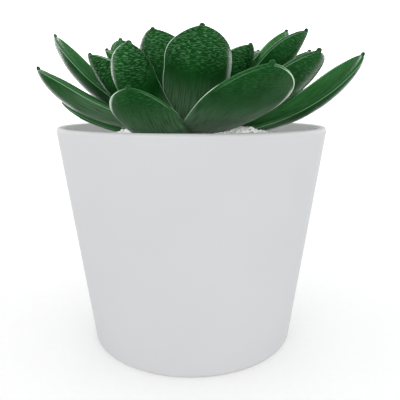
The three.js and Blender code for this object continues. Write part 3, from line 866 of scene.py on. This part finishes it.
def pot_material():
    """Satin white glaze with a faint unevenness, and a bare foot. The inside is painted near white
    and the outside mid grey, painted light where the leaves shade the inside.
    """
    material, tree = new_material("pot_glaze")
    place = add(tree, "TexCoord").outputs["Object"]
    waves = noise(tree, place, 28.0, 2, 0.5)
    pores = noise(tree, place, 900.0, 2, 0.5)
    cloud = noise(tree, place, 14.0, 3, 0.55)
    swell = math_node(tree, "MULTIPLY", waves, 0.25)
    height = math_node(tree, "ADD", swell, math_node(tree, "MULTIPLY", pores, 0.02))
    glaze = mix_colour(tree, map_range(tree, cloud, 0.3, 0.7), GLAZE_DARK, GLAZE_PALE)
    up = add(tree, "SeparateXYZ", {0: place}).outputs["Z"]
    outwards = add(tree, "VectorMath", {0: place, 1: (1, 1, 0)}, operation="MULTIPLY").outputs[0]
    radius = add(tree, "VectorMath", {0: outwards}, operation="LENGTH").outputs["Value"]
    wall = math_node(tree, "ADD", radius, math_node(tree, "MULTIPLY", up, -POT_FLARE))
    inner_face = (POT_BASE_RADIUS - POT_WALL) * MM
    # Painted light: the inner face of the wall is painted near white.
    inside = map_range(tree, wall, inner_face, inner_face + 0.7 * POT_WALL * MM, 1.0, 0.0)
    glaze = mix_colour(tree, inside, glaze, GLAZE_INSIDE_PAINTED_LIGHT)
    bare = map_range(tree, up, 0.0002, 0.0008, 1.0, 0.0)
    speckle = noise(tree, place, 1500.0, 1, 0.5)
    clay = mix_colour(tree, speckle, CLAY_DARK, CLAY_PALE)
    shader(tree, {
        "Base Color": mix_colour(tree, bare, glaze, clay),
        "Roughness": map_range(tree, cloud, 0.2, 0.8, 0.46, 0.54),
        "Specular IOR Level": 0.3,
        "Normal": bump(tree, height, 0.001, 0.5),
    })
    return material


def gravel_material():
    """Matt white grit, each grain in its own tone, with a few grey ones."""
    material, tree = new_material("white_grit")
    grain = add(tree, "Attribute", attribute_name="grain").outputs["Vector"]
    parts = add(tree, "SeparateXYZ", {0: grain}).outputs
    place = add(tree, "TexCoord").outputs["Object"]
    rough = noise(tree, place, 1400.0, 3, 0.6)
    tone = mix_colour(tree, parts["X"], GRIT_DULL, GRIT_WHITE)
    grey = map_range(tree, parts["Y"], 0.93, 0.98, 0.0, 0.6)
    tone = mix_colour(tree, grey, tone, GRIT_GREY)
    pits = map_range(tree, rough, 0.45, 0.7, 0.0, 0.15)
    tone = mix_colour(tree, pits, tone, GRIT_PIT)
    shader(tree, {
        "Base Color": tone,
        "Roughness": map_range(tree, rough, 0.2, 0.8, 0.75, 0.95),
        "Normal": bump(tree, rough, 0.0003, 0.8),
    })
    return material


def soil_material():
    """Crumbly dark potting mix with paler bits."""
    material, tree = new_material("potting_mix")
    place = add(tree, "TexCoord").outputs["Object"]
    crumbs = noise(tree, place, 260.0, 4, 0.65)
    bits = add(tree, "TexVoronoi", {"Vector": place, "Scale": 380.0}).outputs["Distance"]
    crumbly = map_range(tree, crumbs, 0.3, 0.7)
    brown = mix_colour(tree, crumbly, MIX_DARK, MIX_BROWN)
    brown = mix_colour(tree, map_range(tree, bits, 0.18, 0.10, 0.0, 0.5), brown, MIX_BIT)
    shader(tree, {
        "Base Color": brown,
        "Roughness": map_range(tree, crumbs, 0.2, 0.8, 0.85, 1.0),
        "Normal": bump(tree, crumbs, 0.0012, 0.9),
    })
    return material


def stem_material():
    """Green-brown skin with darker leaf scars."""
    material, tree = new_material("stem_skin")
    place = add(tree, "TexCoord").outputs["Object"]
    bark = noise(tree, place, 300.0, 3, 0.6, 0.4, (1, 1, 2.5))
    patches = noise(tree, place, 90.0, 2, 0.5)
    patchy = map_range(tree, patches, 0.3, 0.7)
    skin = mix_colour(tree, patchy, STEM_GREEN, STEM_OLIVE)
    scars = map_range(tree, bark, 0.52, 0.7, 0.0, 0.6)
    skin = mix_colour(tree, scars, skin, STEM_SCAR)
    shader(tree, {
        "Base Color": skin,
        "Roughness": map_range(tree, bark, 0.2, 0.8, 0.5, 0.7),
        "Normal": bump(tree, bark, 0.0005, 0.8),
    })
    return material


def floor_material():
    """Pale matt studio paper."""
    material, tree = new_material("studio_floor")
    place = add(tree, "TexCoord").outputs["Object"]
    fibre = noise(tree, place, 300.0, 2, 0.5)
    tone = mix_colour(tree, fibre, FLOOR_DULL, FLOOR_WHITE)
    shader(tree, {"Base Color": tone, "Roughness": 0.9})
    return material


# Studio

def make_camera():
    data = bpy.data.cameras.new("camera")
    data.sensor_width = SENSOR_MM
    data.lens = FOCAL_PX / IMAGE_WIDTH_PX * SENSOR_MM
    camera = bpy.data.objects.new("camera", data)
    camera.location = (CAMERA_ASIDE, -CAMERA_BACK, pot_high.z + CAMERA_OVER_RIM)
    camera.rotation_euler = (math.radians(90 - CAMERA_PITCH_DEG), 0, math.radians(-CAMERA_TURN_DEG))
    bpy.context.scene.collection.objects.link(camera)
    bpy.context.scene.camera = camera


def area_light(name, place, size, power):
    data = bpy.data.lights.new(name, "AREA")
    data.shape = "DISK"
    data.size = size
    data.energy = power
    light = bpy.data.objects.new(name, data)
    light.visible_camera = False
    light.visible_glossy = False
    light.location = place
    aim = Vector((0, 0, pot_high.z)) - light.location
    light.rotation_euler = aim.to_track_quat("-Z", "Y").to_euler()
    bpy.context.scene.collection.objects.link(light)


def make_studio():
    """A pale floor, a white surround and soft lamps."""
    angles = np.arange(FLOOR_SIDES) * 2 * np.pi / FLOOR_SIDES
    east = FLOOR_RADIUS * np.cos(angles)
    north = FLOOR_RADIUS * np.sin(angles)
    rim = np.stack([east, north, -FLOOR_GAP + 0 * angles], -1)
    floor = mesh_object("studio_floor", rim, [list(range(FLOOR_SIDES))])
    floor.data.materials.append(floor_material())
    world = bpy.data.worlds.new("studio")
    world.use_nodes = True
    tree = world.node_tree
    background = tree.nodes["Background"]
    background.inputs["Color"].default_value = (1, 1, 1, 1)
    up = add(tree, "SeparateXYZ", {0: add(tree, "TexCoord").outputs["Generated"]}).outputs["Z"]
    strength = map_range(tree, up, SKY_FROM, SKY_TO, SKY_LOW, SKY_HIGH)
    tree.links.new(strength, background.inputs["Strength"])
    bpy.context.scene.world = world
    area_light("front_lamp", (0, -LAMP_AWAY, LAMP_HEIGHT), LAMP_SIZE, FRONT_POWER)
    area_light("back_lamp", (0, LAMP_AWAY, LAMP_HEIGHT), LAMP_SIZE, SIDE_POWER)
    area_light("left_lamp", (-LAMP_AWAY, 0, LAMP_HEIGHT), LAMP_SIZE, SIDE_POWER)
    area_light("right_lamp", (LAMP_AWAY, 0, LAMP_HEIGHT), LAMP_SIZE, SIDE_POWER)
    bpy.context.scene.view_settings.view_transform = "Standard"


def dress(piece, node, material):
    """Gives the piece its material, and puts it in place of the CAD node."""
    piece.data.materials.append(material)
    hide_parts(node)
    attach(piece, "root")


def build():
    make_camera()
    dress(make_pot(), "pot", pot_material())
    dress(make_gravel(), "gravel", gravel_material())
    dress(make_stem(), "stem", stem_material())
    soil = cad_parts["soil"]
    soil.data.materials.clear()
    soil.data.materials.append(soil_material())
    skin = leaf_material()
    placed = []
    seed = SEED
    for whorl, leaves in WHORLS.items():
        for i, values in enumerate(leaves, 1):
            seed += LEAF_SEED_STEP
            node = f"{whorl}_leaf_{i}"
            leaf = {**PLAIN, **values}
            folds = OUTER_FOLDS if whorl == "outer" else leaf["folds"]
            piece = make_leaf(node + "_skin", leaf, folds, seed, placed)
            dress(piece, node, skin)
    make_studio()


build()
